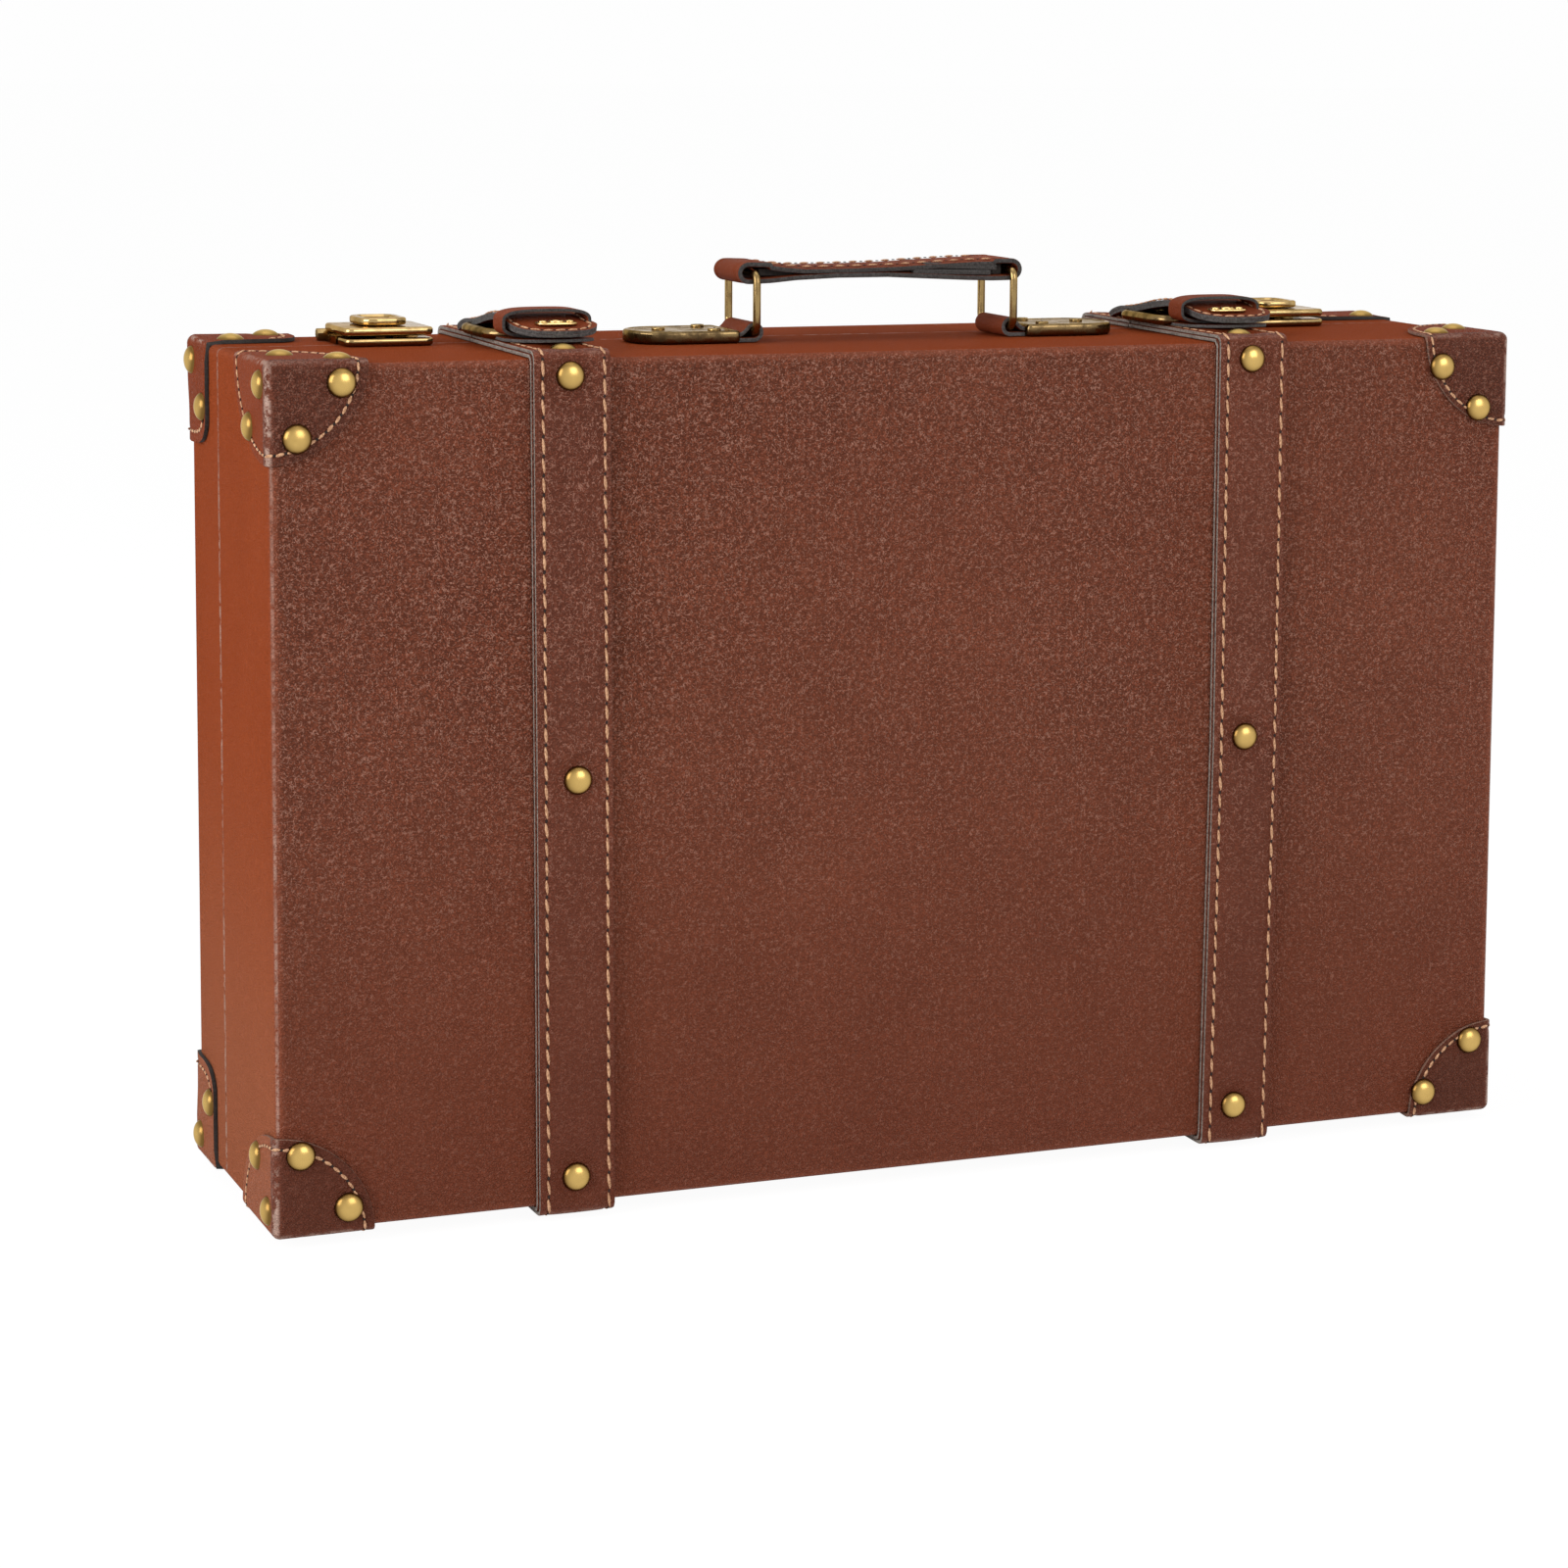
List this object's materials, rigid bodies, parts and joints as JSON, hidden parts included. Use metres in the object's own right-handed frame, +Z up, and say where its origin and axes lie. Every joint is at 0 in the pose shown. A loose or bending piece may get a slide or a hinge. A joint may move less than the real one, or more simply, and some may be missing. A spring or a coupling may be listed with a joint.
{
  "type": "suitcase trunk",
  "caption": "Leather-covered wooden suitcase trunk standing on its long side, with a hinged back tray, buckled strap closures, turn latches and a ringed carrying handle.",
  "frame": {"origin": "on the floor under the centre of the case", "axes": "+X along the case, +Y from the front face to the back, +Z up through the handle"},
  "size_m": [0.6132, 0.1638, 0.4222],
  "materials": {
    "brown_leather": "fine grain, satin",
    "dark_leather": "smooth, satin",
    "plywood": "bare",
    "lining_cloth": "matt weave",
    "antique_brass": "antique, satin",
    "antique_bronze": "antique, darkened",
    "plated_steel": "plated"
  },
  "bodies": {
    "base": {"base_covering": "brown_leather", "base_front_board": "plywood", "base_board_frame": "plywood", "base_lining": "lining_cloth", "base_protector_bottom_left": "dark_leather", "base_protector_bottom_right": "dark_leather", "base_protector_top_left": "dark_leather", "base_protector_top_right": "dark_leather", "base_strap_left": "dark_leather", "base_strap_right": "dark_leather", "closure_striker_left": "plated_steel", "closure_striker_right": "plated_steel", "latch_front_plate_left": "antique_brass", "latch_front_plate_right": "antique_brass", "handle_plate_left": "antique_bronze", "handle_plate_right": "antique_bronze", "handle_tab_left": "dark_leather", "handle_tab_right": "dark_leather", "hinge_base_leaf_left": "plated_steel", "hinge_base_leaf_right": "plated_steel", "hinge_pin_left": "plated_steel", "hinge_pin_right": "plated_steel"},
    "lid": {"lid_covering": "brown_leather", "lid_back_board": "plywood", "lid_board_frame": "plywood", "lid_lining": "lining_cloth", "lid_protector_bottom_left": "dark_leather", "lid_protector_bottom_right": "dark_leather", "lid_protector_top_left": "dark_leather", "lid_protector_top_right": "dark_leather", "lid_strap_left": "dark_leather", "lid_strap_right": "dark_leather", "latch_rear_leaf_left": "antique_brass", "latch_rear_leaf_right": "antique_brass", "latch_pin_left": "plated_steel", "latch_pin_right": "plated_steel", "hinge_lid_leaf_left": "plated_steel", "hinge_lid_leaf_right": "plated_steel"},
    "closure_flap_left": {"strap_tail_left": "dark_leather", "flap_layer_left": "dark_leather", "closure_magnet_left": "plated_steel", "buckle_frame_left": "antique_bronze", "buckle_prong_left": "antique_bronze", "keeper_loop_left": "dark_leather", "eyelet_plate_left": "antique_brass"},
    "closure_flap_right": {"strap_tail_right": "dark_leather", "flap_layer_right": "dark_leather", "closure_magnet_right": "plated_steel", "buckle_frame_right": "antique_bronze", "buckle_prong_right": "antique_bronze", "keeper_loop_right": "dark_leather", "eyelet_plate_right": "antique_brass"},
    "latch_hasp_left": {"latch_hasp_left": "antique_brass"},
    "latch_knob_left": {"latch_knob_left": "antique_brass"},
    "latch_hasp_right": {"latch_hasp_right": "antique_brass"},
    "latch_knob_right": {"latch_knob_right": "antique_brass"},
    "handle_ring_left": {"handle_ring_left": "antique_bronze"},
    "handle_grip": {"handle_grip": "dark_leather"},
    "handle_ring_right": {"handle_ring_right": "antique_bronze"}
  },
  "joints": [
    {"name": "lid_hinge", "type": "hinge", "parent": "base", "child": "lid", "pos_m": [0, 0.022, 0.004], "axis": [-1, 0, 0], "range_deg": [0, 145]},
    {"name": "closure_flap_left_hinge", "type": "hinge", "parent": "lid", "child": "closure_flap_left", "pos_m": [-0.1655, 0.0457, 0.3908], "axis": [-1, 0, 0], "range_deg": [0, 110]},
    {"name": "closure_flap_right_hinge", "type": "hinge", "parent": "lid", "child": "closure_flap_right", "pos_m": [0.1655, 0.0457, 0.3908], "axis": [-1, 0, 0], "range_deg": [0, 110]},
    {"name": "latch_hasp_left_hinge", "type": "hinge", "parent": "lid", "child": "latch_hasp_left", "pos_m": [-0.2255, 0.0467, 0.388], "axis": [-1, 0, 0], "range_deg": [0, 110]},
    {"name": "latch_knob_left_turn", "type": "hinge", "parent": "latch_hasp_left", "child": "latch_knob_left", "pos_m": [-0.2255, 0.0282, 0.3932], "axis": [0, 0, 1], "range_deg": [0, 90]},
    {"name": "latch_hasp_right_hinge", "type": "hinge", "parent": "lid", "child": "latch_hasp_right", "pos_m": [0.2255, 0.0467, 0.388], "axis": [-1, 0, 0], "range_deg": [0, 110]},
    {"name": "latch_knob_right_turn", "type": "hinge", "parent": "latch_hasp_right", "child": "latch_knob_right", "pos_m": [0.2255, 0.0282, 0.3932], "axis": [0, 0, -1], "range_deg": [0, 90]},
    {"name": "handle_ring_left_swing", "type": "hinge", "parent": "base", "child": "handle_ring_left", "pos_m": [-0.0605, 0, 0.3895], "axis": [0, 1, 0], "range_deg": [-60, 60]},
    {"name": "handle_grip_pivot", "type": "hinge", "parent": "handle_ring_left", "child": "handle_grip", "pos_m": [-0.0605, 0, 0.4166], "axis": [0, 1, 0], "range_deg": [-60, 60]},
    {"name": "handle_ring_right_swing", "type": "hinge", "parent": "base", "child": "handle_ring_right", "pos_m": [0.0675, 0, 0.3895], "axis": [0, 1, 0], "range_deg": [-60, 60]}
  ],
  "couplings": [
    {"joint": "handle_grip_pivot", "follows": "handle_ring_left_swing", "ratio": -1},
    {"joint": "handle_ring_right_swing", "follows": "handle_ring_left_swing", "ratio": 1}
  ]
}
